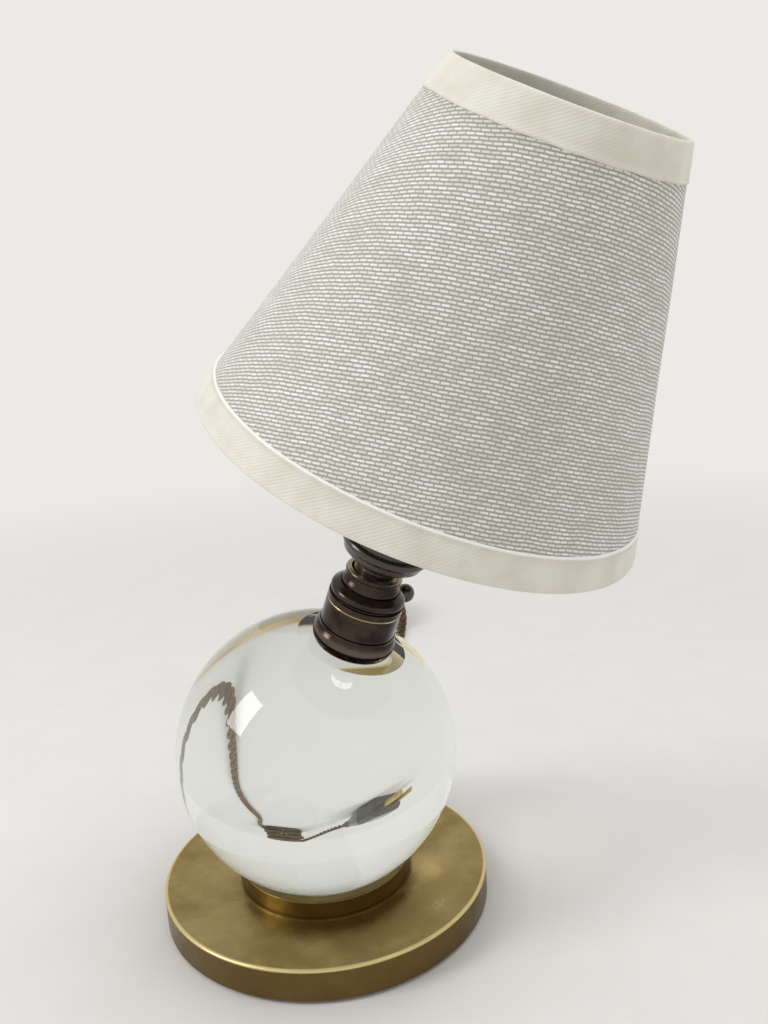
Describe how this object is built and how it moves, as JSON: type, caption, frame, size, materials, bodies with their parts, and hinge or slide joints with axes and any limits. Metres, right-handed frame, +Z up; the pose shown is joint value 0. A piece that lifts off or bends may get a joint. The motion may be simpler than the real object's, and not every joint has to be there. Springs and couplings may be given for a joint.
{
  "type": "table lamp",
  "caption": "Small table lamp: a solid glass ball on a round brass foot carries a leaning bayonet lampholder with a candle bulb and a clip-on tapered fabric shade.",
  "frame": {"origin": "centre of the foot's underside, on the table", "axes": "+Z up, +X the way the lampholder leans, +Y to the back"},
  "size_m": [0.292, 0.3705, 0.2802],
  "materials": {
    "aged_brass": "turned and satin polished brass, aged and lacquered",
    "bronzed_brass": "turned brass with a dark bronzed plating",
    "bright_brass": "plain machined brass",
    "steel": "zinc plated steel",
    "crystal": "polished solid clear glass",
    "felt": "pressed wool felt",
    "cork": "thin black rubber seat",
    "black_plastic": "moulded black phenolic, polished",
    "brown_plastic": "moulded dark brown phenolic, polished",
    "bulb_glass": "frosted blown glass",
    "cap_metal": "rolled aluminium screw cap",
    "shade_fabric": "coarse plain-woven linen on a stiff white lining",
    "trim_tape": "cream twill tape",
    "shade_wire": "round steel wire, lacquered",
    "clip_metal": "spring brass wire and strip",
    "flex": "twisted two-core flex, braided in gold-brown cotton",
    "plug": "moulded plug, dark brown"
  },
  "bodies": {
    "lamp": {"felt_pad": "felt", "base_disc": "aged_brass", "seat_ring": "aged_brass", "ring_screw_1": "steel", "ring_screw_2": "steel", "ring_screw_3": "steel", "seat_pad": "cork", "glass_ball": "crystal", "mount_plate": "bronzed_brass", "holder_flange": "bronzed_brass", "holder_barrel": "bronzed_brass", "stud_nut": "bright_brass", "cable_bush": "black_plastic", "terminal_block": "black_plastic", "holder_collar": "bronzed_brass", "bayonet_cup": "bronzed_brass", "flex_drop": "flex", "flex_coil": "flex", "flex_tail": "flex", "plug_body": "plug", "plug_pin_left": "bright_brass", "plug_pin_right": "bright_brass"},
    "switch": {"switch_knob": "black_plastic", "switch_spindle": "bright_brass"},
    "left_contact": {"plunger_left": "bright_brass"},
    "right_contact": {"plunger_right": "bright_brass"},
    "adaptor": {"adaptor_cap": "bright_brass", "adaptor_disc": "black_plastic", "adaptor_pad_left": "bright_brass", "adaptor_pad_right": "bright_brass", "adaptor_body": "brown_plastic", "adaptor_shell": "bright_brass", "adaptor_contact": "bright_brass"},
    "bulb": {"bulb_contact": "cap_metal", "bulb_cap": "cap_metal", "bulb_glass": "bulb_glass"},
    "clip": {"clip_plate": "clip_metal", "clip_loop_front": "clip_metal", "clip_loop_back": "clip_metal"},
    "shade": {"shade_cover_1": "shade_fabric", "shade_cover_2": "shade_fabric", "shade_cover_3": "shade_fabric", "shade_cover_4": "shade_fabric", "shade_cover_5": "shade_fabric", "shade_cover_6": "shade_fabric", "shade_cover_7": "shade_fabric", "shade_cover_8": "shade_fabric", "shade_cover_9": "shade_fabric", "shade_cover_10": "shade_fabric", "shade_cover_11": "shade_fabric", "shade_cover_12": "shade_fabric", "bottom_trim": "trim_tape", "top_trim": "trim_tape", "top_ring": "shade_wire", "bottom_ring": "shade_wire", "shade_frame": "shade_wire"}
  },
  "joints": [
    {"name": "switch_turn", "type": "hinge", "parent": "lamp", "child": "switch", "pos_m": [0.02475, 0, 0.11845], "axis": [0.4047, 0.8988, -0.1685], "continuous": true},
    {"name": "left_contact_press", "type": "slide", "parent": "lamp", "child": "left_contact", "axis": [-0.3843, 0, -0.9232], "range_m": [0, 0.0013], "stiffness_N_per_m": 300},
    {"name": "right_contact_press", "type": "slide", "parent": "lamp", "child": "right_contact", "axis": [-0.3843, 0, -0.9232], "range_m": [0, 0.0013], "stiffness_N_per_m": 300},
    {"name": "adaptor_twist", "type": "hinge", "parent": "lamp", "child": "adaptor", "pos_m": [0.02709, 0, 0.12409], "axis": [0.4478, 0, 0.8942], "range_deg": [0, 20]},
    {"name": "bulb_turn", "type": "hinge", "parent": "adaptor", "child": "bulb", "pos_m": [0.02709, 0, 0.12409], "axis": [0.4478, 0, 0.8942], "continuous": true},
    {"name": "shade_lift", "type": "slide", "parent": "bulb", "child": "clip", "axis": [0.4478, 0, 0.8942], "range_m": [0, 0.06]},
    {"name": "shade_tilt", "type": "hinge", "parent": "clip", "child": "shade", "pos_m": [0.07859, 0, 0.22691], "axis": [-0.2465, 0.9613, 0.1234], "range_deg": [-15, 15]}
  ]
}
